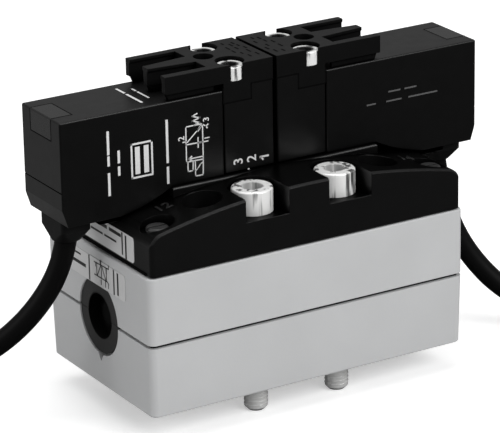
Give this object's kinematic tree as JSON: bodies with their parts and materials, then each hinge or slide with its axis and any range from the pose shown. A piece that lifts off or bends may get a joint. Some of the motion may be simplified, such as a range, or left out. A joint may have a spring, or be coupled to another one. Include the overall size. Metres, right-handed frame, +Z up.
{
  "type": "directional control valve",
  "caption": "Double-solenoid spool valve for a sub-base: grey body halves, black plate, paired pilots with cables, manual overrides and clamping screws.",
  "frame": {"origin": "under the middle of the valve, level with the tips of its four mounting screws", "axes": "+X along the spool to the right, +Y to the back, +Z up"},
  "size_m": [0.2911, 0.0428, 0.0716],
  "materials": {
    "body_grey": "satin grey, lightly textured casting",
    "black_plate": "satin black",
    "pilot_black": "satin black, fine moulded grain",
    "cap_black": "satin black",
    "screw_zinc": "bright zinc",
    "screw_dark": "dark oxide",
    "rubber_black": "matt",
    "bush_grey": "satin dark grey",
    "button_grey": "satin grey",
    "plug_black": "satin black",
    "spring_steel": "drawn wire",
    "bare_aluminium": "fine turned",
    "core_steel": "ground",
    "winding_copper": "enamelled copper wire, stated as brass",
    "bobbin_white": "natural nylon",
    "lens_smoke": "polished, smoke tinted",
    "cable_black": "satin sheath",
    "tie_black": "satin strap",
    "leads": "insulated cores with plated ferrules",
    "label_silver": "satin silver film"
  },
  "bodies": {
    "valve": {"lower_body": "body_grey", "upper_body": "body_grey", "body_gaskets": "rubber_black", "face_seal": "rubber_black", "plate_gasket": "rubber_black", "pilot_plate": "black_plate", "mounting_screws": "screw_zinc", "plate_screws": "screw_dark", "spool_sleeve": "bare_aluminium", "sleeve_seals": "rubber_black", "plate_label": "label_silver", "body_label": "label_silver", "left_override_spring": "spring_steel", "right_override_spring": "spring_steel", "left_bush_upper": "bush_grey", "right_bush_upper": "bush_grey", "left_bush_lower": "bush_grey", "right_bush_lower": "bush_grey", "left_end_plug": "plug_black", "right_end_plug": "plug_black", "left_pilot_base": "pilot_black", "right_pilot_base": "pilot_black", "left_pilot_gasket": "rubber_black", "right_pilot_gasket": "rubber_black", "left_coil_housing": "pilot_black", "right_coil_housing": "pilot_black", "left_signal_lens": "lens_smoke", "right_signal_lens": "lens_smoke", "left_clamp_cap": "cap_black", "right_clamp_cap": "cap_black", "left_cap_screws": "screw_zinc", "right_cap_screws": "screw_zinc", "left_coil_bobbin": "bobbin_white", "right_coil_bobbin": "bobbin_white", "left_coil_winding": "winding_copper", "right_coil_winding": "winding_copper", "left_fixed_core": "core_steel", "right_fixed_core": "core_steel", "left_armature_spring": "spring_steel", "right_armature_spring": "spring_steel", "left_cable_grip": "rubber_black", "right_cable_grip": "rubber_black", "left_cable": "cable_black", "right_cable": "cable_black", "left_cable_hank": "cable_black", "right_cable_hank": "cable_black", "left_cable_tie": "tie_black", "right_cable_tie": "tie_black", "left_lead_ends": "leads", "right_lead_ends": "leads"},
    "spool": {"spool": "bare_aluminium", "left_piston": "bush_grey", "right_piston": "bush_grey", "piston_seals": "rubber_black"},
    "left_button": {"left_override_button": "button_grey"},
    "left_armature": {"left_armature": "core_steel"},
    "right_button": {"right_override_button": "button_grey"},
    "right_armature": {"right_armature": "core_steel"}
  },
  "joints": [
    {"name": "spool_slide", "type": "slide", "parent": "valve", "child": "spool", "axis": [1, 0, 0], "range_m": [0, 0.004]},
    {"name": "left_override", "type": "slide", "parent": "valve", "child": "left_button", "axis": [0, 0, -1], "range_m": [0, 0.0015], "stiffness_N_per_m": 800, "springref_m": -0.002, "deforming": ["left_override_spring"]},
    {"name": "right_override", "type": "slide", "parent": "valve", "child": "right_button", "axis": [0, 0, -1], "range_m": [0, 0.0015], "stiffness_N_per_m": 800, "springref_m": -0.002, "deforming": ["right_override_spring"]},
    {"name": "left_armature_stroke", "type": "slide", "parent": "valve", "child": "left_armature", "axis": [-1, 0, 0], "range_m": [0, 0.0008], "stiffness_N_per_m": 1000, "springref_m": -0.002, "deforming": ["left_armature_spring"]},
    {"name": "right_armature_stroke", "type": "slide", "parent": "valve", "child": "right_armature", "axis": [1, 0, 0], "range_m": [0, 0.0008], "stiffness_N_per_m": 1000, "springref_m": -0.002, "deforming": ["right_armature_spring"]}
  ]
}
